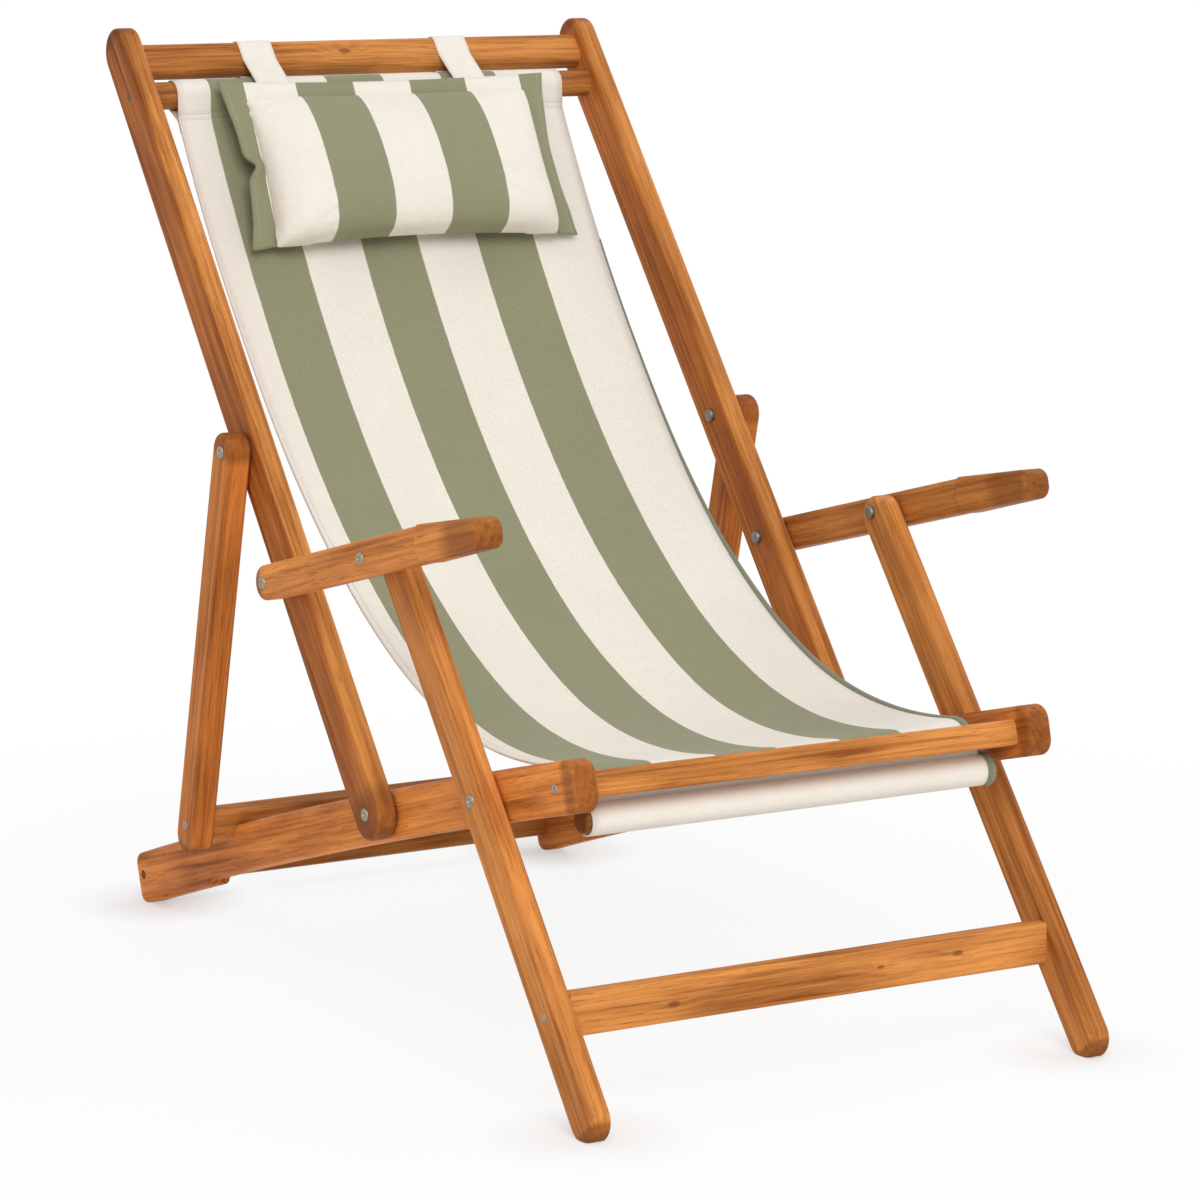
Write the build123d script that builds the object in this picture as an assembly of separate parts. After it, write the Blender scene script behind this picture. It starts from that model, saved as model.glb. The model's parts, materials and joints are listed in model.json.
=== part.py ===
from build123d import *
import os
from math import asin, asinh, atan, atan2, cos, cosh, degrees, hypot, radians, sin, sinh, sqrt

# Folding lounge chair: wooden bars, a hung cloth sling, a head pillow and two armrests.
# Lengths are millimetres and angles are degrees.
# X runs across the chair, Y towards its back and Z upwards.
# Left and right are as seen from in front of the chair.

# Layers of bars across the chair, from the outside inwards
overall_width = 610
arm_thickness = 26
strut_thickness = 25
stile_thickness = 22
leg_thickness = 22
rail_thickness = 25
washer_thickness = 1.5

# Pivots of the fold, in the side view
recline_angle = 51.3
link_tilt = 14.4
back_pivot_height = 209
pivot_spacing = 215.7
arm_pivot_rise = 255.4
strut_pivot_rise = 403
strut_lean = 14.6

# Depths of the bars in the side view
stile_depth = 50
leg_depth = 40
strut_depth = 38
rail_depth = 48
bar_ease = 4.5

# Back stiles and what they carry at the top
stile_top_rise = 906
top_bar_inset = 38
top_bar_height = 36
top_bar_depth = 24
top_bar_round = 9
top_dowel_inset = 80
top_dowel_diameter = 28

# Front legs
foot_sink = 3
leg_end_margin = 15
stretcher_drop = 214.8
stretcher_height = 40
stretcher_depth = 18
stretcher_round = 4

# Seat rails, bowed upwards
rail_front_reach = 356
rail_rear_reach = 585
rail_front_rise = 39
rail_rear_height = 24
rail_bow = 9
rail_front_round = 16
rail_rear_round = 12
rail_foot_length = 185
rail_foot_drop = 6

# Bars between the seat rails
front_bar_setback = 36
front_bar_height = 24
front_bar_depth = 30
front_bar_round = 5
slot_gap = 8
catch_bar_depth = 22
catch_bar_height = 16
catch_bar_round = 7
rear_bar_setback = 16
rear_bar_height = 25
rear_bar_depth = 22
rear_bar_round = 4

# Prop behind the back
crossbar_reach = 354
crossbar_height = 28
crossbar_depth = 22
crossbar_round = 3
crossbar_sink = 5.5
strut_tail = 30
notch_lead = 20

# Armrests
arm_height = 34
arm_front_reach = 232
grip_length = 112
grip_bulge = 2
grip_lift = 1
grip_shoulder = 8
grip_end_height = 28
grip_round = 5
grip_end_round = 12

# Cloth sling, its sleeves and the loose rod in its front hem
cloth_thickness = 2
sling_curve = 500
sling_top_gap = 33.5
sling_front_gap = 14
sling_split_radius = 212
sling_spans = 5
rod_diameter = 25
rod_end_gap = 8
rod_drop = 5

# Head pillow and its two straps
pillow_width = 390
pillow_height = 185
pillow_crown = 60
pillow_edge = 8
pillow_draw = 7
pillow_shoulder = 0.78
pillow_foot_drop = 154
strap_width = 50
strap_spacing = 228
strap_thickness = 2

# Bolts, screws and tenons
bolt_diameter = 8
bolt_head_diameter = 13
bolt_head_height = 3
nut_diameter = 13
nut_height = 5
washer_diameter = 26
screw_diameter = 5
screw_head_diameter = 9
screw_head_depth = 3
screw_head_stand = 0.6
screw_grip = 32
plug_diameter = 10
plug_depth = 5
tenon_diameter = 14
tenon_length = 12

# Clearances
pivot_play = 0.05
open_pivot_play = 0.3
seat_play = 0.2
cloth_play = 0.3
tenon_play = 0.1

# Faces of the layers, at the chair's right
arm_outer = overall_width / 2
arm_inner = arm_outer - arm_thickness
stile_outer = arm_inner - washer_thickness
stile_inner = stile_outer - stile_thickness
rail_outer = stile_inner - washer_thickness
rail_inner = rail_outer - rail_thickness
leg_inner = stile_outer - leg_thickness


def heading(angle):
    """Unit vector in the side view, measured from the back upwards."""
    return Vector(0, cos(radians(angle)), sin(radians(angle)))


def side_plane(x, point, angle=0):
    """Plane across the chair at x, with its own X axis along the angle."""
    return Plane(origin=(x, point.Y, point.Z), x_dir=heading(angle), z_dir=(1, 0, 0))


def mirrored(solid):
    """The same piece on the other side of the chair."""
    return mirror(solid, about=Plane.YZ)


def pair(solid):
    """A piece and its mirror image as one group."""
    return Compound(children=[solid, mirrored(solid)])


def rod(point, x_from, x_to, diameter):
    """Round bar across the chair between two faces."""
    return extrude(side_plane(x_from, point) * Circle(diameter / 2), x_to - x_from)


def eased(solid, radius):
    """Rounds the edges round both side faces of a flat bar."""
    return fillet(solid.faces().filter_by(Axis.X).edges(), radius)


def straight_bar(point, angle, reach_back, reach_ahead, depth, x_from, x_to):
    """Flat bar with round ends along the angle, reaching both ways from a point."""
    length = reach_back + reach_ahead
    middle = (reach_ahead - reach_back) / 2
    outline = Pos(middle, 0) * SlotOverall(length, depth)
    solid = extrude(side_plane(x_from, point, angle) * outline, x_to - x_from)
    return eased(solid, bar_ease)


def above_floor(solid):
    """Cuts away what lies below the floor."""
    size = solid.bounding_box().size.length
    return solid - Pos(0, 0, -size / 2) * Box(4 * size, 4 * size, size)


def cross_bar(point, angle, depth, height, corner, half_length):
    """Bar across the chair with a round tenon at each end."""
    section = RectangleRounded(depth, height, corner)
    body = extrude(side_plane(-half_length, point, angle) * section, 2 * half_length)
    end = half_length + tenon_length
    return body + rod(point, -end, end, tenon_diameter)


def mortise(point, face):
    """Blind hole for a tenon that comes through a face from the inside."""
    depth = tenon_length + tenon_play
    return rod(point, face, face + depth, tenon_diameter + 2 * tenon_play)


def pivot_hole(point, play):
    """Hole along X for a pivot bolt, through everything on the right."""
    return rod(point, 0, overall_width, bolt_diameter + 2 * play)


def pivot_bolt(point, head_face, nut_face):
    """Bolt with a domed head outside and a plain shank to its nut."""
    tip = nut_face - nut_height / 2
    head = rod(point, head_face, head_face + bolt_head_height, bolt_head_diameter)
    dome = fillet(head.edges().sort_by(Axis.X)[-1], bolt_head_height * 0.8)
    return dome + rod(point, tip, head_face, bolt_diameter)


def pivot_nut(point, nut_face):
    """Domed nut with a blind hole, on the inner face."""
    body = rod(point, nut_face - nut_height, nut_face, nut_diameter)
    dome = fillet(body.edges().sort_by(Axis.X)[0], nut_height * 0.6)
    hole = rod(point, nut_face - nut_height / 2 - pivot_play, nut_face, bolt_diameter + 2 * pivot_play)
    return dome - hole


def pivot_washer(point, x_from):
    """Flat washer that keeps two bars apart."""
    ring = rod(point, x_from, x_from + washer_thickness, washer_diameter)
    return ring - pivot_hole(point, pivot_play)


def end_screw(point, face):
    """Screw through a bar into the end of a cross bar, with a sunk round head."""
    head = rod(point, face - screw_head_depth, face + screw_head_stand, screw_head_diameter)
    dome = fillet(head.edges().sort_by(Axis.X)[-1], screw_head_stand)
    return dome + rod(point, face - screw_head_depth - screw_grip, face, screw_diameter)


def screw_hole(point, face):
    """Hole and counterbore for an end screw."""
    depth = screw_head_depth + screw_grip + pivot_play
    shank = rod(point, face - depth, face, screw_diameter + 2 * pivot_play)
    return shank + rod(point, face - screw_head_depth, face + 1, screw_head_diameter + 2 * pivot_play)


def both_ends(point, face):
    """Screw holes at both sides of the chair."""
    hole = screw_hole(point, face)
    return hole + mirrored(hole)


# Pivots and cross bars in the side view, with the back pivot at Y 0
back_pivot = Vector(0, 0, back_pivot_height)
leg_pivot = back_pivot + heading(180 - link_tilt) * pivot_spacing
arm_back_pivot = back_pivot + heading(recline_angle) * arm_pivot_rise
arm_leg_pivot = leg_pivot + heading(recline_angle) * arm_pivot_rise
strut_pivot = back_pivot + heading(recline_angle) * strut_pivot_rise
top_dowel = back_pivot + heading(recline_angle) * (stile_top_rise - top_dowel_inset)
top_bar_point = back_pivot + heading(recline_angle) * (stile_top_rise - top_bar_inset)
stretcher_point = leg_pivot - heading(recline_angle) * stretcher_drop

# The rail's centre line is an arc over its chord
rail_front = Vector(0, -rail_front_reach, leg_pivot.Z + rail_front_rise)
rail_rear = Vector(0, rail_rear_reach, rail_rear_height)
rail_chord = rail_front - rail_rear
rail_radius = (rail_chord.length**2 / 4 + rail_bow**2) / (2 * rail_bow)
rail_normal = Vector(0, rail_chord.Z, -rail_chord.Y).normalized()
rail_centre = (rail_front + rail_rear) * 0.5 - rail_normal * (rail_radius - rail_bow)


def rail_angle(point):
    """Direction from the rail's arc centre to a point."""
    return degrees(atan2(point.Z - rail_centre.Z, point.Y - rail_centre.Y))


def rail_point(angle, offset):
    """Point off the rail's centre line, at a direction from the arc's centre."""
    return rail_centre + heading(angle) * (rail_radius + offset)


def rail_arc(angle_from, angle_to, offset):
    """Arc alongside the rail's centre line."""
    middle = (angle_from + angle_to) / 2
    return ThreePointArc(*[rail_point(angle, offset) for angle in (angle_from, middle, angle_to)])


def rail_spot(angle_end, setback):
    """Point on the rail's centre line, set back from one of its ends."""
    return rail_point(angle_end + degrees(setback / rail_radius), 0)


rear_angle = rail_angle(rail_rear)
front_angle = rail_angle(rail_front)
front_bar_point = rail_spot(front_angle, -front_bar_setback)
rear_bar_point = rail_spot(rear_angle, rear_bar_setback)
front_bar_tilt = rail_angle(front_bar_point) - 90
rear_bar_tilt = rail_angle(rear_bar_point) - 90

# The catch bar lies behind the front bar, with a slot for the cloth between them
catch_step = front_bar_depth / 2 + slot_gap + catch_bar_depth / 2
catch_drop = (front_bar_height - catch_bar_height) / 2
catch_bar_point = front_bar_point + heading(front_bar_tilt) * catch_step
catch_bar_point = catch_bar_point - heading(front_bar_tilt + 90) * catch_drop

# The prop's bar sits in a notch, square to the struts
strut_angle = -90 + strut_lean
notch_radius = rail_radius + rail_depth / 2 - crossbar_sink
notch_rise = sqrt(notch_radius**2 - (crossbar_reach - rail_centre.Y) ** 2)
prop_surface = Vector(0, crossbar_reach, rail_centre.Z + notch_rise)
crossbar_point = prop_surface - heading(strut_angle) * (crossbar_height / 2)
strut_run = crossbar_point - strut_pivot
strut_angle = degrees(atan2(strut_run.Z, strut_run.Y))
strut_length = strut_run.length


def seat_rail():
    """Bowed rail with a rounded front end, a deeper foot and a notch for the prop."""
    half = rail_depth / 2
    step_angle = rear_angle + degrees(rail_foot_length / rail_radius)
    foot_angle = step_angle - degrees(rail_foot_drop / rail_radius)
    top = rail_arc(rear_angle, front_angle, half)
    under = rail_arc(front_angle, step_angle, -half)
    foot = rail_arc(foot_angle, rear_angle, -half - rail_foot_drop)
    front = Line(top @ 1, under @ 0)
    step = Line(under @ 1, foot @ 0)
    rear = Line(foot @ 1, top @ 0)
    outline = make_face(Wire([top, front, under, step, foot, rear]))
    outline = fillet(outline.vertices().sort_by(Axis.Y)[:2], rail_front_round)
    outline = fillet(outline.vertices().sort_by(Axis.Y)[-2:], rail_rear_round)
    step_ends = outline.vertices().group_by(lambda v: abs(v.Y - (under @ 1).Y) < 2 * rail_foot_drop)[-1]
    outline = fillet(step_ends, rail_foot_drop)
    solid = eased(extrude(outline, rail_thickness, dir=(1, 0, 0)), bar_ease)
    solid = Pos(rail_inner, 0, 0) * solid
    seat_low = crossbar_height / 2 + seat_play
    front_low = crossbar_depth / 2 + seat_play
    lead = crossbar_height * sin(radians(notch_lead))
    notch = Polyline(
        (seat_low, -front_low),
        (seat_low, rail_depth),
        (-crossbar_height, rail_depth),
        (-crossbar_height, -front_low - lead),
        close=True,
    )
    notch_plane = side_plane(0, crossbar_point, strut_angle)
    solid -= extrude(notch_plane * make_face(notch), overall_width)
    solid = above_floor(solid)
    for point in (front_bar_point, catch_bar_point, rear_bar_point):
        solid -= mortise(point, rail_inner)
    solid -= screw_hole(front_bar_point, rail_outer)
    solid -= rod(rear_bar_point, rail_outer - plug_depth - pivot_play, rail_outer, plug_diameter + 2 * pivot_play)
    solid -= pivot_hole(back_pivot, pivot_play)
    solid -= pivot_hole(leg_pivot, pivot_play)
    return solid


def back_stile():
    """Long stile from the rail's pivot to the rounded top."""
    ends = (stile_depth / 2, stile_top_rise)
    solid = straight_bar(back_pivot, recline_angle, *ends, stile_depth, stile_inner, stile_outer)
    for point in (back_pivot, arm_back_pivot, strut_pivot):
        solid -= pivot_hole(point, pivot_play)
    solid -= mortise(top_bar_point, stile_inner)
    solid -= mortise(top_dowel, stile_inner)
    return solid - screw_hole(top_dowel, stile_outer)


def front_leg():
    """Leg from the armrest to the floor, with a rounded foot cut flat."""
    sole = leg_depth / 2 - foot_sink
    drop = (leg_pivot.Z - sole) / sin(radians(recline_angle)) + leg_depth / 2
    reach = arm_pivot_rise + leg_end_margin
    solid = straight_bar(leg_pivot, recline_angle, drop, reach, leg_depth, leg_inner, stile_outer)
    solid = above_floor(solid)
    for point in (leg_pivot, arm_leg_pivot):
        solid -= pivot_hole(point, pivot_play)
    solid -= mortise(stretcher_point, leg_inner)
    return solid - screw_hole(stretcher_point, stile_outer)


def armrest():
    """Straight arm with a bulging hand grip whose top levels off."""
    half = arm_height / 2
    shoulder = half + grip_lift
    end = pivot_spacing + arm_front_reach
    start = end - grip_length
    # In the arm's own plane Y points down, because its X axis runs forwards
    plane = side_plane(arm_inner, arm_back_pivot, 180 - link_tilt)
    tail = ThreePointArc((0, half), (-half, 0), (0, -half))
    sides = Polyline((0, -half), (start, -half), (start, half), (0, half))
    shank = make_face(Wire([tail, *sides.edges()]))
    shank_solid = eased(extrude(plane * shank, arm_thickness), bar_ease)
    rear = ThreePointArc((start, shoulder), (start - grip_shoulder, 0), (start, -shoulder))
    end_top = half - grip_end_height
    top = Line((start, -shoulder), (end, end_top))
    front = Line((end, end_top), (end, half))
    bottom = Line((end, half), (start, shoulder))
    grip = make_face(Wire([rear, top, front, bottom]))
    grip = fillet(grip.vertices().sort_by(Axis.X)[2:], grip_end_round)
    grip_plane = side_plane(arm_inner - grip_bulge, arm_back_pivot, 180 - link_tilt)
    grip_solid = eased(extrude(grip_plane * grip, arm_thickness + 2 * grip_bulge), grip_round)
    solid = shank_solid + grip_solid
    solid -= pivot_hole(arm_back_pivot, pivot_play)
    return solid - pivot_hole(arm_leg_pivot, open_pivot_play)


def back_strut():
    """Prop strut from the stile down past the cross bar."""
    ends = (strut_depth / 2, strut_length + strut_tail)
    outer = arm_inner + strut_thickness
    solid = straight_bar(strut_pivot, strut_angle, *ends, strut_depth, arm_inner, outer)
    solid -= pivot_hole(strut_pivot, pivot_play)
    solid -= mortise(crossbar_point, arm_inner)
    return solid - screw_hole(crossbar_point, outer)


# The sling hangs as a catenary between the top dowel's sleeve and the catch bar's edge
sleeve_radius = top_dowel_diameter / 2 + cloth_play + cloth_thickness / 2
hem_radius = rod_diameter / 2 + cloth_play + cloth_thickness / 2
edge_radius = catch_bar_round + cloth_play + cloth_thickness / 2
sling_top = top_dowel - heading(recline_angle) * sleeve_radius
catch_front = catch_bar_point - heading(front_bar_tilt) * (catch_bar_depth / 2 - catch_bar_round)
edge_centre = catch_front + heading(front_bar_tilt + 90) * (catch_bar_height / 2 - catch_bar_round)
sling_front = edge_centre + heading(front_bar_tilt + 90) * edge_radius
slot_top = edge_centre - heading(front_bar_tilt) * edge_radius
rod_fall = catch_bar_height - catch_bar_round + hem_radius + rod_drop
rod_point = slot_top - heading(front_bar_tilt + 90) * rod_fall

sling_span = sling_top.Y - sling_front.Y
sling_rise = sling_top.Z - sling_front.Z
sling_skew = asinh(sling_rise / (2 * sling_curve * sinh(sling_span / (2 * sling_curve))))
sling_low = (sling_top.Y + sling_front.Y) / 2 - sling_curve * sling_skew


def sling_height(y):
    """Height of the hanging cloth at a distance behind the back pivot."""
    drop = cosh((y - sling_low) / sling_curve) - cosh((sling_front.Y - sling_low) / sling_curve)
    return sling_front.Z + sling_curve * drop


def sling_slope(y):
    """Slope angle of the hanging cloth."""
    return degrees(atan(sinh((y - sling_low) / sling_curve)))


def sling_point(y, offset):
    """Point off the middle of the cloth, square to it."""
    return Vector(0, y, sling_height(y)) + heading(sling_slope(y) + 90) * offset


def sling_edges(y_from, y_to, offset):
    """One face of the cloth as arcs through the catenary."""
    step = (y_to - y_from) / (2 * sling_spans)
    stations = [sling_point(y_from + step * i, offset) for i in range(2 * sling_spans + 1)]
    return [ThreePointArc(*stations[i : i + 3]) for i in range(0, 2 * sling_spans, 2)]


def sling_strip(y_from, y_to):
    """Hanging cloth between two distances behind the pivot."""
    half = cloth_thickness / 2
    upper = sling_edges(y_from, y_to, half)
    lower = sling_edges(y_to, y_from, -half)
    rear = Line(upper[-1] @ 1, lower[0] @ 0)
    front = Line(lower[-1] @ 1, upper[0] @ 0)
    face = make_face(Wire([*upper, rear, *lower, front]))
    return extrude(Pos(-overall_width / 2, 0, 0) * face, overall_width, dir=(1, 0, 0))


def sleeve(point, radius):
    """Cloth sleeve round a dowel."""
    outside = rod(point, -overall_width / 2, overall_width / 2, 2 * radius + cloth_thickness)
    return outside - rod(point, -overall_width, overall_width, 2 * radius - cloth_thickness)


def tapered(cloth):
    """Cuts the cloth to its width, which narrows towards the front."""
    front = rod_point.Y - hem_radius * 2
    rear = top_dowel.Y + sleeve_radius * 2
    rear_half = stile_inner - sling_top_gap
    front_half = rail_inner - sling_front_gap
    plan = Polyline(
        (-front_half, front), (front_half, front), (rear_half, rear), (-rear_half, rear), close=True
    )
    return cloth & extrude(make_face(plan), stile_top_rise * 2)


def split_distance():
    """Where the cloth crosses the split radius round the back pivot, behind it."""
    low, high = 0, sling_top.Y
    while high - low > cloth_play / 100:
        middle = (low + high) / 2
        reach = hypot(middle, sling_height(middle) - back_pivot_height)
        if reach < sling_split_radius:
            low = middle
        else:
            high = middle
    return low


sling_split = split_distance()


def sling_back():
    """Back of the sling, sewn round the top dowel."""
    return tapered(sling_strip(sling_split + cloth_play / 2, sling_top.Y) + sleeve(top_dowel, sleeve_radius))


def sling_seat():
    """Seat of the sling, over the catch bar, through the slot and round the rod."""
    half = cloth_thickness / 2
    plane = side_plane(-overall_width / 2, edge_centre, front_bar_tilt + 90)
    ring = Circle(edge_radius + half) - Circle(edge_radius - half)
    corner = ring & Pos(edge_radius, edge_radius) * Rectangle(2 * edge_radius, 2 * edge_radius)
    bend = extrude(plane * corner, overall_width)
    drop_length = rod_fall - hem_radius + half
    drop_plane = side_plane(-overall_width / 2, slot_top, front_bar_tilt - 90)
    drop = Pos(drop_length / 2, 0) * Rectangle(drop_length, cloth_thickness)
    fall = extrude(drop_plane * drop, overall_width)
    cloth = sling_strip(sling_front.Y, sling_split - cloth_play / 2) + bend + fall
    return tapered(cloth + sleeve(rod_point, hem_radius))


def loose_rod():
    """Rod in the front hem, caught below the two front bars, with rounded ends."""
    half = rail_inner - rod_end_gap
    body = rod(rod_point, -half, half, rod_diameter)
    return fillet(body.edges().filter_by(GeomType.CIRCLE), rod_diameter / 6)


def top_round_bar():
    """Dowel for the sling's top sleeve, tenoned and screwed to the stiles."""
    half = stile_inner + tenon_length
    body = rod(top_dowel, -stile_inner, stile_inner, top_dowel_diameter)
    return body + rod(top_dowel, -half, half, tenon_diameter) - both_ends(top_dowel, stile_outer)


# The pillow leans on the top sleeve and on the sling below it
pillow_foot_rise = stile_top_rise - top_dowel_inset - pillow_foot_drop
pillow_foot_y = heading(recline_angle).Y * pillow_foot_rise
pillow_foot = sling_point(pillow_foot_y, cloth_thickness / 2 + cloth_play)
pillow_reach = top_dowel - pillow_foot
pillow_touch = sleeve_radius + cloth_thickness / 2 + cloth_play
pillow_lean = degrees(atan2(pillow_reach.Z, pillow_reach.Y) + asin(pillow_touch / pillow_reach.length))
pillow_top = pillow_foot + heading(pillow_lean) * pillow_height


def pillow_section(x, draw, crown):
    """Lens between the pillow's flat back and its crowned front."""
    low = (draw, 0)
    high = (pillow_height - draw, 0)
    front = ThreePointArc(low, (pillow_height / 2, crown), high)
    outline = make_face(Wire([front, Line(high, low)]))
    return side_plane(x, pillow_foot, pillow_lean) * outline


def head_pillow():
    """Crowned pillow with thin ends and drawn-in long sides."""
    half = pillow_width / 2
    shoulder = half * pillow_shoulder
    shoulder_crown = pillow_crown * pillow_shoulder
    sections = [
        pillow_section(-half, 0, pillow_edge),
        pillow_section(-shoulder, pillow_draw / 2, shoulder_crown),
        pillow_section(0, pillow_draw, pillow_crown),
        pillow_section(shoulder, pillow_draw / 2, shoulder_crown),
        pillow_section(half, 0, pillow_edge),
    ]
    return loft(sections)


def pillow_strap():
    """Strap sewn to the pillow's top edge and looped over the top bar."""
    inner = cloth_play
    outer = cloth_play + strap_thickness
    loop = RectangleRounded(top_bar_depth + 2 * outer, top_bar_height + 2 * outer, top_bar_round + outer)
    loop -= RectangleRounded(top_bar_depth + 2 * inner, top_bar_height + 2 * inner, top_bar_round + inner)
    left = (strap_spacing - strap_width) / 2
    band = extrude(side_plane(left, top_bar_point, recline_angle - 90) * loop, strap_width)
    low = pillow_top + heading(pillow_lean) * cloth_play + heading(pillow_lean + 90) * strap_thickness
    side = heading(recline_angle + 90) * (top_bar_depth / 2 + cloth_play + strap_thickness / 2)
    high = top_bar_point + side - heading(recline_angle) * (top_bar_height / 2 - top_bar_round)
    run = high - low
    tail = Pos(run.length / 2, 0) * Rectangle(run.length, strap_thickness)
    tail_angle = degrees(atan2(run.Z, run.Y))
    return band + extrude(side_plane(left, low, tail_angle) * tail, strap_width)


def cross_bars():
    """The bars between the two sides, by name."""
    front_section = (front_bar_depth, front_bar_height, front_bar_round)
    catch_section = (catch_bar_depth, catch_bar_height, catch_bar_round)
    rear_section = (rear_bar_depth, rear_bar_height, rear_bar_round)
    top_section = (top_bar_depth, top_bar_height, top_bar_round)
    stretcher_section = (stretcher_depth, stretcher_height, stretcher_round)
    prop_section = (crossbar_depth, crossbar_height, crossbar_round)
    bars = {
        "front_seat_bar": cross_bar(front_bar_point, front_bar_tilt, *front_section, rail_inner),
        "sling_catch_bar": cross_bar(catch_bar_point, front_bar_tilt, *catch_section, rail_inner),
        "rear_floor_bar": above_floor(cross_bar(rear_bar_point, rear_bar_tilt, *rear_section, rail_inner)),
        "top_bar": cross_bar(top_bar_point, recline_angle - 90, *top_section, stile_inner),
        "front_stretcher": cross_bar(stretcher_point, 0, *stretcher_section, leg_inner),
        "strut_crossbar": cross_bar(crossbar_point, strut_angle + 90, *prop_section, arm_inner),
    }
    bars["front_seat_bar"] -= both_ends(front_bar_point, rail_outer)
    bars["front_stretcher"] -= both_ends(stretcher_point, stile_outer)
    bars["strut_crossbar"] -= both_ends(crossbar_point, arm_inner + strut_thickness)
    return bars


def pivot_sets():
    """Bolts, nuts and washers of the five pivots, each as a pair."""
    places = {
        "back_pivot": (back_pivot, stile_outer, rail_inner, rail_outer),
        "leg_pivot": (leg_pivot, stile_outer, rail_inner, rail_outer),
        "arm_back": (arm_back_pivot, arm_outer, stile_inner, stile_outer),
        "arm_leg": (arm_leg_pivot, arm_outer, leg_inner, stile_outer),
        "strut_pivot": (strut_pivot, arm_inner + strut_thickness, stile_inner, stile_outer),
    }
    sets = {}
    for name, (point, head_face, nut_face, gap_face) in places.items():
        sets[f"{name}_bolts"] = pair(pivot_bolt(point, head_face, nut_face))
        sets[f"{name}_nuts"] = pair(pivot_nut(point, nut_face))
        sets[f"{name}_washers"] = pair(pivot_washer(point, gap_face))
    return sets


def screw_sets():
    """End screws and plugs, each as a pair."""
    plug = rod(rear_bar_point, rail_outer - plug_depth, rail_outer, plug_diameter)
    return {
        "front_bar_screws": pair(end_screw(front_bar_point, rail_outer)),
        "top_dowel_screws": pair(end_screw(top_dowel, stile_outer)),
        "stretcher_screws": pair(end_screw(stretcher_point, stile_outer)),
        "crossbar_screws": pair(end_screw(crossbar_point, arm_inner + strut_thickness)),
        "rear_bar_plugs": pair(plug),
    }


def two_sided(name, solid):
    """A bar for each side of the chair."""
    return {f"right_{name}": solid, f"left_{name}": mirrored(solid)}


parts = {
    **two_sided("seat_rail", seat_rail()),
    **two_sided("back_stile", back_stile()),
    **two_sided("front_leg", front_leg()),
    **two_sided("armrest", armrest()),
    **two_sided("back_strut", back_strut()),
    **cross_bars(),
    "top_sling_dowel": top_round_bar(),
    "front_sling_rod": loose_rod(),
    "sling_back": sling_back(),
    "sling_seat": sling_seat(),
    "head_pillow": head_pillow(),
    "right_pillow_strap": pillow_strap(),
    "left_pillow_strap": Pos(-strap_spacing, 0, 0) * pillow_strap(),
    **pivot_sets(),
    **screw_sets(),
}

# The origin lies on the floor, half way between the foremost and rearmost points
front_end = min(part.bounding_box().min.Y for part in parts.values())
rear_end = max(part.bounding_box().max.Y for part in parts.values())
shift = Vector(0, -(front_end + rear_end) / 2, 0)

os.makedirs("parts", exist_ok=True)
for name, part in parts.items():
    export_step(Location(shift) * part, f"parts/{name}.step")

pivots = {"back": back_pivot, "leg": leg_pivot, "arm_back": arm_back_pivot, "strut": strut_pivot}
for name, point in pivots.items():
    print(name, "pivot at", point + shift)
print("depth", rear_end - front_end, "strut length", strut_length, "strut angle", strut_angle)
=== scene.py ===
import json
from bisect import bisect_right
from math import acos, asinh, atan2, cos, cosh, degrees, exp, pi, radians, sin, sinh

import bmesh
import bpy
from bpy.props import FloatProperty, FloatVectorProperty, PointerProperty
from mathutils import Matrix, Vector, noise


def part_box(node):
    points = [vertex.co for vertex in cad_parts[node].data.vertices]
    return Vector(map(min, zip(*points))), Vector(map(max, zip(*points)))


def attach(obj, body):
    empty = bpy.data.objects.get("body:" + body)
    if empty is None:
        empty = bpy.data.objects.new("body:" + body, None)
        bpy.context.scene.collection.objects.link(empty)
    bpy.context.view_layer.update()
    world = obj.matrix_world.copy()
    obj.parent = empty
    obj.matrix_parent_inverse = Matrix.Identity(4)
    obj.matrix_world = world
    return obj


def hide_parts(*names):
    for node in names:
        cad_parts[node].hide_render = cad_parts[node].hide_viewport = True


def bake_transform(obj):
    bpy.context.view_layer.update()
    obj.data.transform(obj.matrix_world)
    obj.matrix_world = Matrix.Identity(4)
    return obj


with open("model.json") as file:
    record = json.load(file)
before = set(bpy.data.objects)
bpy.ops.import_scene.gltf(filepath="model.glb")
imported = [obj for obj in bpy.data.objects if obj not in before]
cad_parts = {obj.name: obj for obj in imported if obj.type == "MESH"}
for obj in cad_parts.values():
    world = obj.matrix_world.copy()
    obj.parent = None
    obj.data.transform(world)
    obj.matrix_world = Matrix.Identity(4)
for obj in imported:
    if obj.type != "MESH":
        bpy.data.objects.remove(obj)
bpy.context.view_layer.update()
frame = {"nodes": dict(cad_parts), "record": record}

bl_info = {
    "name": "Folding Lounge Chair",
    "version": (1, 0, 0),
    "blender": (4, 5, 0),
    "location": "3D View > Sidebar > Chair",
    "description": "Dresses the frame of a folding lounge chair with wood, canvas, pillow and hardware",
    "category": "Object",
}

# X runs across the chair, Y towards its back and Z upwards; lengths are metres and angles degrees.
# Side view angles are measured from the back upwards.

nodes = frame["nodes"]


def node_middle(name):
    """Middle of a CAD node's box."""
    low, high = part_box(name)
    return (low + high) / 2


def heading(angle):
    """Unit vector in the side view."""
    return Vector((0, cos(radians(angle)), sin(radians(angle))))


def angle_of(run):
    """Side view angle of a vector."""
    return degrees(atan2(run.z, run.y))


def ease(value):
    """Smooth step from 0 to 1."""
    value = min(max(value, 0.0), 1.0)
    return value * value * (3 - 2 * value)


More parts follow.
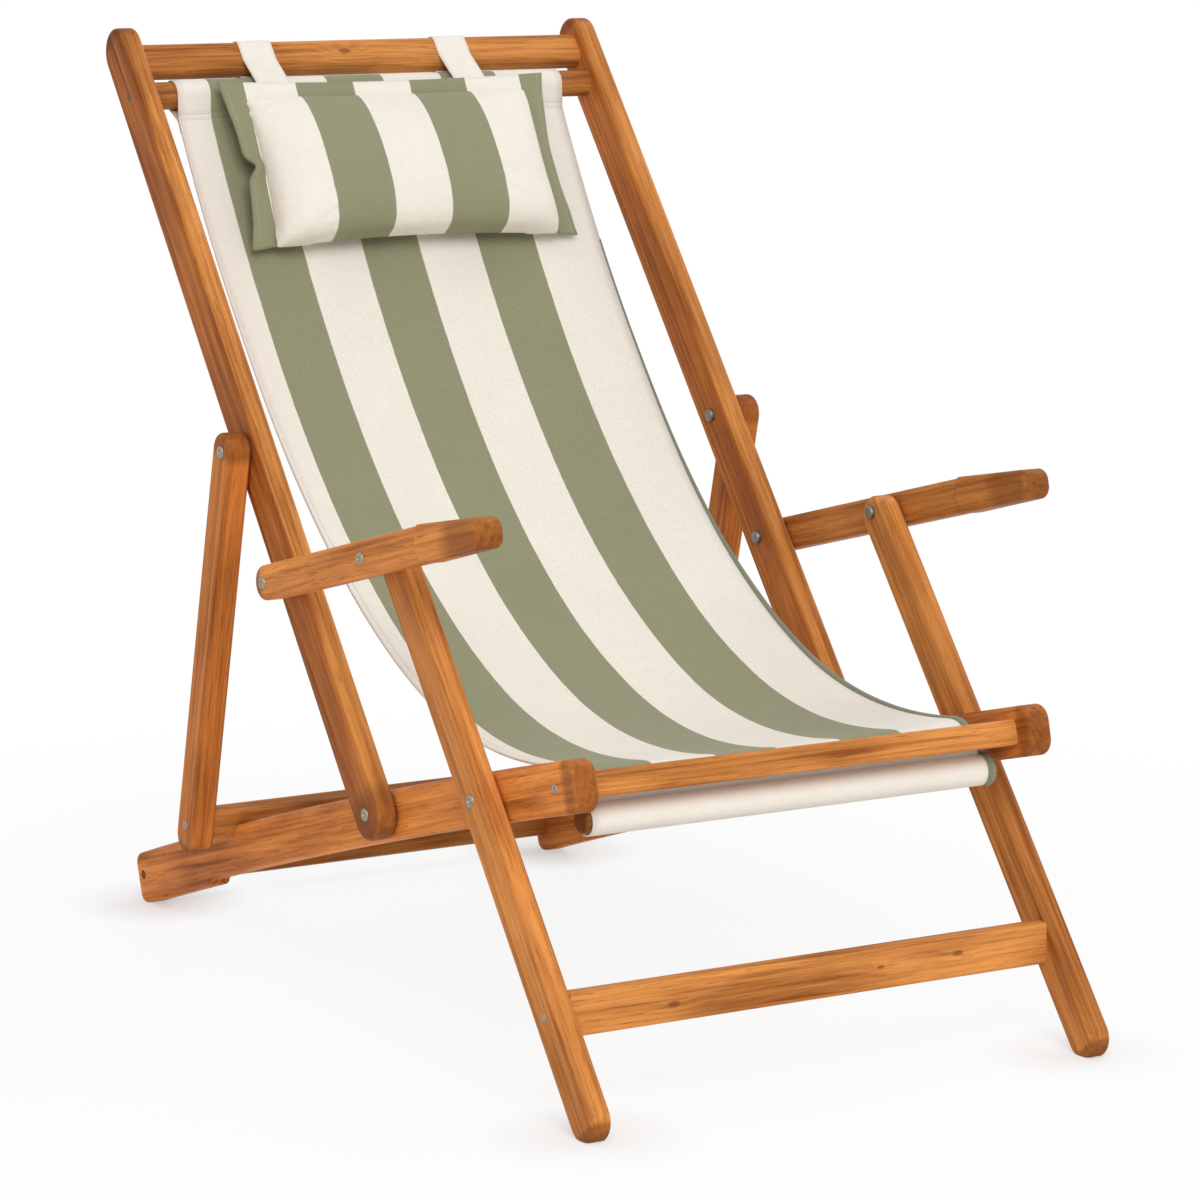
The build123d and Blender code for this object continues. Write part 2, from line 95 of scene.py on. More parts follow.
# Places and directions taken from the frame
PIVOTS = {joint["name"]: Vector(joint["pos_m"]) for joint in frame["record"]["behaviour"]["joints"]}
TOP_DOWEL = node_middle("top_sling_dowel")
TOP_BAR = node_middle("top_bar")
FRONT_BAR = node_middle("front_seat_bar")
CATCH_BAR = node_middle("sling_catch_bar")
FRONT_ROD = node_middle("front_sling_rod")
BACK_ANGLE = angle_of(TOP_DOWEL - PIVOTS["back_fold"])
LINK_ANGLE = angle_of(PIVOTS["leg_fold"] - PIVOTS["back_fold"])
STRUT_ANGLE = angle_of(node_middle("strut_crossbar") - PIVOTS["strut_swing"])
RAIL_ANGLE = angle_of(FRONT_BAR - node_middle("rear_floor_bar"))


def length(name, description, value):
    """Length setting, in metres."""
    return FloatProperty(name=name, description=description, default=value, unit="LENGTH", precision=4)


def colour(name, description, value):
    """Colour setting, in linear values."""
    rgba = (*value, 1)
    return FloatVectorProperty(name=name, description=description, subtype="COLOR", size=4, default=rgba)


def position(name, description, value):
    """Place setting, in metres."""
    return FloatVectorProperty(name=name, description=description, subtype="TRANSLATION", default=value)


class ChairWood(bpy.types.PropertyGroup):
    """Finish of the wooden bars."""

    light: colour("Early wood", "Paler colour between the grain lines", (0.80, 0.32, 0.08))
    dark: colour("Late wood", "Darker colour of the grain lines", (0.185, 0.040, 0.005))
    end_grain: colour("End grain", "Colour where the grain is cut across", (0.16, 0.042, 0.009))
    roughness: FloatProperty(
        name="Roughness", description="Roughness of the oiled wood", default=0.5, min=0, max=1
    )


class ChairCanvas(bpy.types.PropertyGroup):
    """Colours and stripes of the canvas."""

    white: colour("Undyed stripe", "Colour of the off-white stripes", (0.84, 0.79, 0.70))
    green: colour("Sage stripe", "Colour of the green stripes", (0.272, 0.274, 0.163))
    # The binding colour, darker than the green stripes, is partly the tape's own colour and partly painted
    # shade on the turned edge.
    binding: colour("Binding", "Colour of the tape along the sling's edges", (0.215, 0.225, 0.145))
    green_width: length("Green stripe", "Width of a green stripe", 0.0658)
    period: length("Sling stripes", "One green and one white stripe of the sling", 0.1342)
    sling_offset: length("Sling offset", "Where a green stripe of the sling starts", -0.194)
    pillow_period: length("Pillow stripes", "One green and one white stripe of the pillow", 0.1312)
    pillow_offset: length("Pillow offset", "Where a green stripe of the pillow starts", -0.1055)
    thread: length("Thread", "Spacing of the threads", 0.0011)


class ChairSling(bpy.types.PropertyGroup):
    """Shape of the sling and of the bars it runs over."""

    curve: length("Hang", "Length that sets how deep the sling hangs", 0.5)
    top_half: length("Top half width", "Half the sling's width at the top", 0.225)
    front_half: length("Front half width", "Half the sling's width in front", 0.215)
    waist: length("Waist", "How far each edge draws in half way along", 0.004)
    thickness: length("Cloth", "Thickness of the canvas", 0.0014)
    sleeve: length("Top sleeve", "Radius of the sleeve round the top dowel", 0.0153)
    hem: length("Front hem", "Radius of the hem round the rod", 0.0138)
    bend: length("Edge bend", "Radius of the bend over the catch bar", 0.0083)
    flap: length("Flap", "Length of the sewn end behind the top sleeve", 0.016)
    trough: length("Trough", "How far the middle hangs below its line", 0.008)
    lift: length("Edge lift", "How far the edges stand above the line", 0.006)
    rise: length("Front rise", "How far the stiff cloth stands up before it bends down in front", 0.007)
    shift: length("Shift", "How far the top of the cloth sits to one side", -0.006)
    binding: length("Binding", "Width of the tape along the edges", 0.0075)
    front_depth: length("Front bar depth", "Depth of the front bar", 0.030)
    front_height: length("Front bar height", "Height of the front bar", 0.024)
    slot: length("Slot", "Gap that the cloth drops through", 0.008)
    catch_depth: length("Catch bar depth", "Depth of the bar behind the slot", 0.022)
    catch_height: length("Catch bar height", "Height of the bar behind the slot", 0.016)
    catch_round: length("Catch bar round", "Corner radius of the bar behind the slot", 0.007)


class ChairPillow(bpy.types.PropertyGroup):
    """Shape of the pillow and its straps."""

    left: length("Left end", "Place of the left border's outer edge", -0.192)
    right: length("Right end", "Place of the right border's outer edge", 0.186)
    height: length("Height", "Height over the border", 0.185)
    lean: FloatProperty(
        name="Lean", description="Lean of the pillow's back", default=radians(63.57), subtype="ANGLE"
    )
    seam: length("Seam", "Height of the seam above the pillow's back", 0.015)
    crown: length("Crown", "Height of the front above the seam, before it is filled", 0.034)
    swell: length("Swell", "Most that the filling moves the cloth", 0.012)
    left_border: length("Left border", "Width of the border at the left end", 0.024)
    right_border: length("Right border", "Width of the border at the right end", 0.021)
    top_border: length("Top border", "Width of the border along the top", 0.015)
    draw: length("Draw", "How far the ends draw in between the corners", 0.011)
    strap_width: length("Strap width", "Width of each strap", 0.0375)
    strap_shift: length("Strap shift", "How far the straps sit to one side", -0.0115)
    bar_depth: length("Top bar depth", "Depth of the bar inside the straps", 0.024)
    bar_height: length("Top bar height", "Height of the bar inside the straps", 0.036)
    bar_round: length("Top bar round", "Corner radius of the bar inside the straps", 0.009)


class ChairStage(bpy.types.PropertyGroup):
    """Camera, floor and light."""

    camera_place: position("Camera", "Camera position", (-2.04707, -3.5967, 1.10356))
    camera_target: position("Target", "Point the camera looks at", (-0.00013, -0.0423, 0.38348))
    lens: FloatProperty(name="Lens", description="Focal length in millimetres", default=128.66)
    floor: colour("Floor", "Floor colour", (0.92, 0.92, 0.92))
    key: FloatProperty(name="Key light", description="Power of the main lamp", default=90, unit="POWER")
    sky: FloatProperty(name="Sky", description="Strength of the even light", default=0.57)


# Shader nodes


def socket_group(name, inputs, outputs):
    """New shader node group with named sockets; returns its tree, its inputs and its outputs."""
    tree = bpy.data.node_groups.new(name, "ShaderNodeTree")
    for label, kind in inputs:
        tree.interface.new_socket(label, in_out="INPUT", socket_type=f"NodeSocket{kind}")
    for label, kind in outputs:
        tree.interface.new_socket(label, in_out="OUTPUT", socket_type=f"NodeSocket{kind}")
    return tree, tree.nodes.new("NodeGroupInput").outputs, tree.nodes.new("NodeGroupOutput").inputs


def put(target, value):
    """Links an output socket, or sets a plain value, on an input socket."""
    if isinstance(value, bpy.types.NodeSocket):
        target.id_data.links.new(value, target)
    else:
        target.default_value = value


def calc(tree, operation, *values, clamp=False):
    """Math node; returns its value."""
    node = tree.nodes.new("ShaderNodeMath")
    node.operation = operation
    node.use_clamp = clamp
    for socket, value in zip(node.inputs, values):
        put(socket, value)
    return node.outputs[0]


def weighted(tree, *parts, base=0.0):
    """Base value plus each value times its weight."""
    for value, weight in parts:
        base = calc(tree, "MULTIPLY_ADD", value, weight, base)
    return base


def vector_calc(tree, operation, first, second=None):
    """Vector math node; returns the node."""
    node = tree.nodes.new("ShaderNodeVectorMath")
    node.operation = operation
    put(node.inputs[0], first)
    if second is not None:
        put(node.inputs[1], second)
    return node


def mix(tree, factor, first, second, blend="MIX"):
    """Colour mix; returns its colour."""
    node = tree.nodes.new("ShaderNodeMix")
    node.data_type = "RGBA"
    node.blend_type = blend
    put(node.inputs["Factor"], factor)
    put(node.inputs[6], first)
    put(node.inputs[7], second)
    return node.outputs[2]


def ramp(tree, value, low, high, low_out=0.0, high_out=1.0):
    """Smooth step of a value between two limits, which may run downwards."""
    node = tree.nodes.new("ShaderNodeMapRange")
    node.interpolation_type = "SMOOTHSTEP"
    labels = ("Value", "From Min", "From Max", "To Min", "To Max")
    for label, number in zip(labels, (value, low, high, low_out, high_out)):
        put(node.inputs[label], number)
    return node.outputs["Result"]


def stretched(tree, vector, scale):
    """Vector stretched along its axes."""
    node = tree.nodes.new("ShaderNodeMapping")
    put(node.inputs["Vector"], vector)
    node.inputs["Scale"].default_value = scale
    return node.outputs["Vector"]


def speckle(tree, vector, scale, detail=3.0, rough=0.55, warp=0.0):
    """Noise value."""
    node = tree.nodes.new("ShaderNodeTexNoise")
    put(node.inputs["Vector"], vector)
    for label, number in zip(("Scale", "Detail", "Roughness", "Distortion"), (scale, detail, rough, warp)):
        node.inputs[label].default_value = number
    return node.outputs["Fac"]


def split(tree, vector):
    """The three parts of a vector."""
    node = tree.nodes.new("ShaderNodeSeparateXYZ")
    put(node.inputs[0], vector)
    return node.outputs


def bump(tree, height, distance, strength):
    """Normal from a height."""
    node = tree.nodes.new("ShaderNodeBump")
    node.inputs["Distance"].default_value = distance
    node.inputs["Strength"].default_value = strength
    put(node.inputs["Height"], height)
    return node.outputs["Normal"]


def seen_rays(tree):
    """1 for the rays that show a surface as it is: camera, glossy and transmission rays."""
    rays = tree.nodes.new("ShaderNodeLightPath").outputs
    seen = calc(tree, "MAXIMUM", rays["Is Camera Ray"], rays["Is Glossy Ray"])
    return calc(tree, "MAXIMUM", seen, rays["Is Transmission Ray"])


def use_group(tree, name, **values):
    """Places a shared group, builds it when first asked for, and fills its inputs."""
    group = bpy.data.node_groups.get(name) or GROUPS[name](name)
    node = tree.nodes.new("ShaderNodeGroup")
    node.node_tree = group
    for label, value in values.items():
        put(node.inputs[label.replace("_", " ")], value)
    return node.outputs


def knot_group(name):
    """Knot in a bar: a dark heart and a push that bends the grain round it."""
    inputs = [("Vector", "Vector"), ("Centre", "Vector"), ("Radius", "Float")]
    tree, ins, outs = socket_group(name, inputs, [("Heart", "Float"), ("Push", "Float")])
    gap = vector_calc(tree, "SUBTRACT", ins["Vector"], ins["Centre"]).outputs[0]
    size = vector_calc(tree, "LENGTH", stretched(tree, gap, (0.45, 1, 1))).outputs["Value"]
    reach = calc(tree, "DIVIDE", size, ins["Radius"])
    put(outs["Heart"], ramp(tree, reach, 1.25, 0.5))
    put(outs["Push"], ramp(tree, reach, 5.0, 0.6))
    return tree


# Repeats per metre of each pattern in the wood: along the bar, across it and through it
WANDER_SCALE = (2.1, 10, 10)
ZONE_SCALE = (5, 13, 13)
BROAD_SCALE = (4, 90, 90)
STREAK_SCALE = (6, 300, 300)
PORE_SCALE = (40, 950, 950)
RINGS_PER_METRE = 130.0
# How far the middle of the rings lies outside the bar, across it and through it
PITH_ACROSS, PITH_THROUGH = 0.071, 0.043
# How far apart the bars lie in the wood that they are cut from
SEED_STEP = (0.731, 0.0171, 0.0113)


def grain_group(name):
    """Oiled wood: growth rings, broad tone, streaks, pores, end grain and darker bar ends."""
    inputs = [("Vector", "Vector")]
    inputs += [(label, "Float") for label in ("End", "Worn", "Push", "Heart", "Roughness")]
    inputs += [(label, "Color") for label in ("Light", "Dark", "End Colour")]
    outputs = [("Color", "Color"), ("Roughness", "Float"), ("Height", "Float")]
    tree, ins, outs = socket_group(name, inputs, outputs)
    bar = ins["Vector"]
    axis = split(tree, bar)
    wander = speckle(tree, stretched(tree, bar, WANDER_SCALE), 1.0, 2.0)
    across = weighted(tree, (wander, 0.04), (ins["Push"], 0.022), base=axis["Y"])
    across = calc(tree, "ADD", across, PITH_ACROSS)
    through = calc(tree, "ADD", weighted(tree, (wander, 0.028), base=axis["Z"]), PITH_THROUGH)
    square = weighted(tree, (across, across), (through, through))
    ring = calc(tree, "FRACT", calc(tree, "MULTIPLY", calc(tree, "SQRT", square), RINGS_PER_METRE))
    late = calc(tree, "MULTIPLY", ramp(tree, ring, 0.2, 0.86), ramp(tree, ring, 1.0, 0.88))
    zone = ramp(tree, speckle(tree, stretched(tree, bar, ZONE_SCALE), 1.0, 2.0), 0.32, 0.68)
    broad = ramp(tree, speckle(tree, stretched(tree, bar, BROAD_SCALE), 1.0, 4.0, 0.6, 0.4), 0.34, 0.68)
    streak = speckle(tree, stretched(tree, bar, STREAK_SCALE), 1.0, 4.0, 0.62)
    pores = ramp(tree, speckle(tree, stretched(tree, bar, PORE_SCALE), 1.0, 2.0), 0.58, 0.72)
    tone = weighted(tree, (late, 0.14), (zone, 0.38), (broad, 0.36), (ramp(tree, streak, 0.40, 0.70), 0.31))
    tone = calc(tree, "SUBTRACT", tone, 0.12, clamp=True)
    body = mix(tree, tone, ins["Light"], ins["Dark"])
    body = mix(tree, calc(tree, "MULTIPLY", pores, 0.5), body, ins["Dark"])
    end_darkening = calc(tree, "MULTIPLY", ins["Worn"], 0.58)
    dark_end = calc(tree, "MAXIMUM", calc(tree, "MULTIPLY", ins["End"], 0.7), end_darkening)
    body = mix(tree, dark_end, body, ins["End Colour"])
    put(outs["Color"], mix(tree, calc(tree, "MULTIPLY", ins["Heart"], 0.7), body, ins["End Colour"]))
    put(outs["Roughness"], weighted(tree, (pores, 0.14), (ins["End"], 0.1), base=ins["Roughness"]))
    put(outs["Height"], weighted(tree, (streak, 0.4), (pores, -0.7), (late, 0.2)))
    return tree


def weave_group(name):
    """Plain weave of two crossed threads, with slubs and a soft cloudiness."""
    inputs = [("Across", "Float"), ("Along", "Float"), ("Thread", "Float"), ("Vector", "Vector")]
    tree, ins, outs = socket_group(name, inputs, [("Height", "Float"), ("Shade", "Float")])
    turn = calc(tree, "DIVIDE", pi, ins["Thread"])
    warp = calc(tree, "SINE", calc(tree, "MULTIPLY", ins["Across"], turn))
    weft = calc(tree, "SINE", calc(tree, "MULTIPLY", ins["Along"], turn))
    threads = calc(tree, "MULTIPLY", warp, weft)
    slub = speckle(tree, ins["Vector"], 170.0, 3.0, 0.6)
    cloud = speckle(tree, ins["Vector"], 12.0, 3.0)
    put(outs["Height"], weighted(tree, (threads, 0.5), (slub, 0.8)))
    put(outs["Shade"], weighted(tree, (threads, 0.03), (slub, 0.12), (cloud, 0.10), base=0.89))
    return tree


def stripe_group(name):
    """A few even stripes: 1 in the green ones, 0 in the white ones."""
    inputs = [(label, "Float") for label in ("Across", "Period", "Width", "Offset", "Count")]
    tree, ins, outs = socket_group(name, inputs, [("Green", "Float")])
    place = calc(tree, "DIVIDE", calc(tree, "SUBTRACT", ins["Across"], ins["Offset"]), ins["Period"])
    part = calc(tree, "FRACT", place)
    past = calc(tree, "SUBTRACT", part, calc(tree, "DIVIDE", ins["Width"], ins["Period"]))
    green = calc(tree, "MULTIPLY", ramp(tree, part, 0.0, 0.006), ramp(tree, past, 0.006, 0.0))
    put(outs["Green"], calc(tree, "MULTIPLY", green, calc(tree, "LESS_THAN", place, ins["Count"])))
    return tree


def stitch_group(name):
    """Row of stitches along a line: 1 on the thread, and a dip along the seam."""
    inputs = [("Distance", "Float"), ("Along", "Float"), ("Length", "Float")]
    tree, ins, outs = socket_group(name, inputs, [("Thread", "Float"), ("Dip", "Float")])
    gap = calc(tree, "ABSOLUTE", ins["Distance"])
    step = calc(tree, "FRACT", calc(tree, "DIVIDE", ins["Along"], ins["Length"]))
    put(outs["Thread"], calc(tree, "MULTIPLY", ramp(tree, gap, 0.0010, 0.0004), ramp(tree, step, 0.72, 0.64)))
    put(outs["Dip"], ramp(tree, gap, 0.004, 0.0))
    return tree


GROUPS = {
    "Knot": knot_group,
    "Wood grain": grain_group,
    "Canvas weave": weave_group,
    "Stripes": stripe_group,
    "Stitch row": stitch_group,
}


# Materials


def new_material(name):
    """Material with its tree, its shader and its texture coordinates."""
    material = bpy.data.materials.new(name)
    material.use_nodes = True
    tree = material.node_tree
    return material, tree, tree.nodes["Principled BSDF"], tree.nodes.new("ShaderNodeTexCoord").outputs


def tinted(rgba, tone, shade_warmth=0.0):
    """Colour made lighter or darker, and warmer by taking out some green and more blue."""
    red, green, blue = [part * tone for part in rgba[:3]]
    return (red, green * (1 - shade_warmth), blue * (1 - 2 * shade_warmth), 1)


def wood_material(name, node, angle, seed, tone, shade_warmth=0.0, side=1.0, end_darkening=(0, 0), knots=()):
    """Wood whose grain runs along a bar of the frame; angle None runs across the chair.

    side is the tone of the painted shade on the faces that look sideways, worn gives how far the darkening
    reaches in from the bar's two ends, and knots holds the place and radius of each knot.
    """
    look = bpy.context.scene.chair_wood
    material, tree, shader, place = new_material(name)
    turn = Matrix.Identity(3)
    if angle is not None:
        run = heading(angle)
        turn = Matrix(((0, run.y, run.z), (-1, 0, 0), (0, -run.z, run.y)))
    shift = Vector([seed * step for step in SEED_STEP])
    aligned = tree.nodes.new("ShaderNodeMapping")
    put(aligned.inputs["Vector"], place["Object"])
    aligned.inputs["Rotation"].default_value = turn.to_euler("XYZ")
    aligned.inputs["Location"].default_value = shift
    bar = aligned.outputs["Vector"]
    facing = vector_calc(tree, "DOT_PRODUCT", place["Normal"], tuple(turn[0])).outputs["Value"]
    end = ramp(tree, calc(tree, "ABSOLUTE", facing), 0.55, 0.9)
    reach = [turn[0].dot(vert.co) + shift.x for vert in node.data.vertices]
    along = split(tree, bar)["X"]
    dark = 0.0
    # Darker tone over a given length at each end of the bar.
    for edge, depth, way in ((min(reach), end_darkening[0], 1), (max(reach), end_darkening[1], -1)):
        if depth:
            rim = ramp(tree, along, edge + way * depth, edge + way * depth * 0.55)
            dark = calc(tree, "MAXIMUM", dark, rim)
    heart, push = 0.0, 0.0
    for centre, radius in knots:
        spot = use_group(tree, "Knot", Vector=bar, Centre=tuple(turn @ centre + shift), Radius=radius)
        heart = calc(tree, "MAXIMUM", heart, spot["Heart"])
        push = calc(tree, "MAXIMUM", push, spot["Push"])
    # Painted shade: the warmth reddens the whole bar towards the colour of its shaded faces.
    grain = use_group(
        tree,
        "Wood grain",
        Vector=bar,
        End=end,
        Worn=dark,
        Push=push,
        Heart=heart,
        Light=tinted(look.light, tone, shade_warmth),
        Dark=tinted(look.dark, tone, shade_warmth),
        End_Colour=tuple(look.end_grain),
        Roughness=look.roughness,
    )
    # Painted shade: faces that look sideways take the darker, warmer side tone.
    side_shade_mask = ramp(tree, calc(tree, "ABSOLUTE", split(tree, place["Normal"])["X"]), 0.5, 0.9)
    side_shaded = mix(tree, side_shade_mask, grain["Color"], tinted((1, 1, 1), side, 1 - side), "MULTIPLY")
    put(shader.inputs["Base Color"], side_shaded)
    put(shader.inputs["Roughness"], grain["Roughness"])
    put(shader.inputs["Normal"], bump(tree, grain["Height"], 0.00035, 0.6))
    shader.inputs["Specular IOR Level"].default_value = 0.1
    return material


CANVAS_FINISH = {"Roughness": 0.88, "Specular IOR Level": 0.2, "Sheen Weight": 0.15, "Sheen Roughness": 0.5}
SEWING_THREAD = (0.40, 0.39, 0.32, 1)
STITCH_LENGTH = 0.0045
# How far the edges of the stripes wander
STRIPE_WANDER = 0.0012


def canvas_material(name, stripes=None, by_uv=False, rows=(), plain_from=None, ends=None, base=None):
    """Canvas by UV or by place; stripes are (period, offset, count) and rows the stitch rows (axis, place).

    plain_from is where the stripes end along the cloth, and ends are the places beyond which it is all green.
    """
    look = bpy.context.scene.chair_canvas
    material, tree, shader, place = new_material(name)
    vector = place["UV" if by_uv else "Object"]
    axis = split(tree, vector)
    across, along = axis["X"], axis["Y" if by_uv else "Z"]
    weave = use_group(tree, "Canvas weave", Across=across, Along=along, Thread=look.thread, Vector=vector)
    tint = tuple(base or look.white)
    if stripes:
        period, offset, count = stripes
        wander = calc(tree, "SUBTRACT", speckle(tree, vector, 60.0), 0.5)
        edge = weighted(tree, (wander, STRIPE_WANDER), base=across)
        band = {"Period": period, "Width": look.green_width, "Offset": offset, "Count": count}
        green = use_group(tree, "Stripes", Across=edge, **band)["Green"]
        if plain_from is not None:
            green = calc(tree, "MULTIPLY", green, calc(tree, "LESS_THAN", along, plain_from))
        if ends:
            green = calc(tree, "MAXIMUM", green, calc(tree, "LESS_THAN", across, ends[0]))
            green = calc(tree, "MAXIMUM", green, calc(tree, "GREATER_THAN", across, ends[1]))
        tint = mix(tree, green, tint, tuple(look.green))
    height = weave["Height"]
    for direction, line in rows:
        side, run = (across, along) if direction == "across" else (along, across)
        away = calc(tree, "SUBTRACT", side, line)
        row = use_group(tree, "Stitch row", Distance=away, Along=run, Length=STITCH_LENGTH)
        tint = mix(tree, calc(tree, "MULTIPLY", row["Thread"], 0.4), tint, SEWING_THREAD)
        height = weighted(tree, (row["Dip"], -2.4), base=height)
    put(shader.inputs["Base Color"], mix(tree, 1.0, tint, weave["Shade"], "MULTIPLY"))
    put(shader.inputs["Normal"], bump(tree, height, 0.0004, 0.5))
    for label, value in CANVAS_FINISH.items():
        shader.inputs[label].default_value = value
    return material


# Repeats per metre of the scratches along the three axes
SCRATCH_SCALE = (300, 900, 90)


def metal_material(name, rgb, roughness, metallic=1.0):
    """Turned metal with fine scratches."""
    material, tree, shader, place = new_material(name)
    scratch = speckle(tree, stretched(tree, place["Object"], SCRATCH_SCALE), 1.0)
    put(shader.inputs["Roughness"], ramp(tree, scratch, 0.2, 0.8, roughness - 0.08, roughness + 0.12))
    put(shader.inputs["Base Color"], mix(tree, ramp(tree, scratch, 0.3, 0.7), (*rgb, 1), tinted(rgb, 0.75)))
    put(shader.inputs["Normal"], bump(tree, scratch, 0.0001, 0.3))
    shader.inputs["Metallic"].default_value = metallic
    return material


# Share of the floor that the camera sees as plain white, near the chair and at a foot, and the distances
# between which each share rises to 1; the low share at a foot paints shade round it
NEAR_WHITE, NEAR_REACH = 0.87, (0.6, 1.4)
FOOT_WHITE, FOOT_REACH = 0.5, (0.01, 0.15)


def floor_material(stage):
    """Pale floor that keeps the chair's shadow, with painted shade round its feet, and is plain white further
    out.
    """
    material, tree, shader, place = new_material("studio floor")
    put(shader.inputs["Base Color"], tuple(stage.floor))
    shader.inputs["Roughness"].default_value = 0.9
    shader.inputs["Specular IOR Level"].default_value = 0.0
    far = vector_calc(tree, "LENGTH", place["Object"]).outputs["Value"]
    plain = ramp(tree, far, *NEAR_REACH, NEAR_WHITE, 1.0)
    # Painted shade: less plain white near each mount darkens the floor round the feet.
    for mount in frame["record"]["mounts"]:
        gap = vector_calc(tree, "DISTANCE", place["Object"], mount["pos_m"]).outputs["Value"]
        plain = calc(tree, "MINIMUM", plain, ramp(tree, gap, *FOOT_REACH, FOOT_WHITE, 1.0))
    share = calc(tree, "MULTIPLY", seen_rays(tree), plain)
    white = tree.nodes.new("ShaderNodeEmission")
    blend = tree.nodes.new("ShaderNodeMixShader")
    put(blend.inputs[0], share)
    put(blend.inputs[1], shader.outputs[0])
    put(blend.inputs[2], white.outputs[0])
    put(tree.nodes["Material Output"].inputs["Surface"], blend.outputs[0])
    return material


# Meshes


def dress(node, material):
    """Puts a material on a CAD node in place of its own."""
    node.data.materials.clear()
    node.data.materials.append(material)


def finish_piece(bm, name, material, body=None):
    """Turns a bmesh into a smooth shown piece at the origin."""
    mesh = bpy.data.meshes.new(name)
    bm.to_mesh(mesh)
    bm.free()
    mesh.shade_smooth()
    mesh.materials.append(material)
    piece = bpy.data.objects.new(name, mesh)
    bpy.context.scene.collection.objects.link(piece)
    if body:
        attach(piece, body)
    return piece


def thicken(piece, thickness):
    """Gives a sheet its thickness, half to each side."""
    modifier = piece.modifiers.new("Thickness", "SOLIDIFY")
    modifier.thickness = thickness
    modifier.offset = 0.0


def soften(piece):
    """One subdivision, the same in the view and in the render."""
    modifier = piece.modifiers.new("Smooth", "SUBSURF")
    modifier.levels = 1
    modifier.render_levels = 1


def keep_shape(piece):
    """Puts the shape that the modifiers give into the mesh."""
    shaped = piece.evaluated_get(bpy.context.evaluated_depsgraph_get())
    before = piece.data
    piece.data = bpy.data.meshes.new_from_object(shaped)
    piece.data.shade_smooth()
    piece.modifiers.clear()
    bpy.data.meshes.remove(before)


def set_uvs(bm, flat):
    """Writes each vertex's place on the flat cloth as its UV, in metres."""
    layer = bm.loops.layers.uv.verify()
    for face in bm.faces:
        for loop in face.loops:
            loop[layer].uv = flat[loop.vert]


def arc_points(centre, radius, start, end, step=6):
    """Points on a circle in the side view, from one angle to another."""
    count = max(2, int(abs(end - start) / step))
    return [centre + heading(start + (end - start) * i / count) * radius for i in range(count + 1)]


class Path:
    """Line in the side view that is read by its length."""

    def __init__(self, points):
        self.points = points
        self.marks = [0.0]
        for before, after in zip(points, points[1:]):
            self.marks.append(self.marks[-1] + (after - before).length)
        self.length = self.marks[-1]

    def at(self, distance):
        """Point at a distance along the line, and the normal to the right of its run."""
        i = min(max(bisect_right(self.marks, distance) - 1, 0), len(self.points) - 2)
        run = self.points[i + 1] - self.points[i]
        share = (distance - self.marks[i]) / run.length
        return self.points[i] + run * share, Vector((0, run.z, -run.y)).normalized()


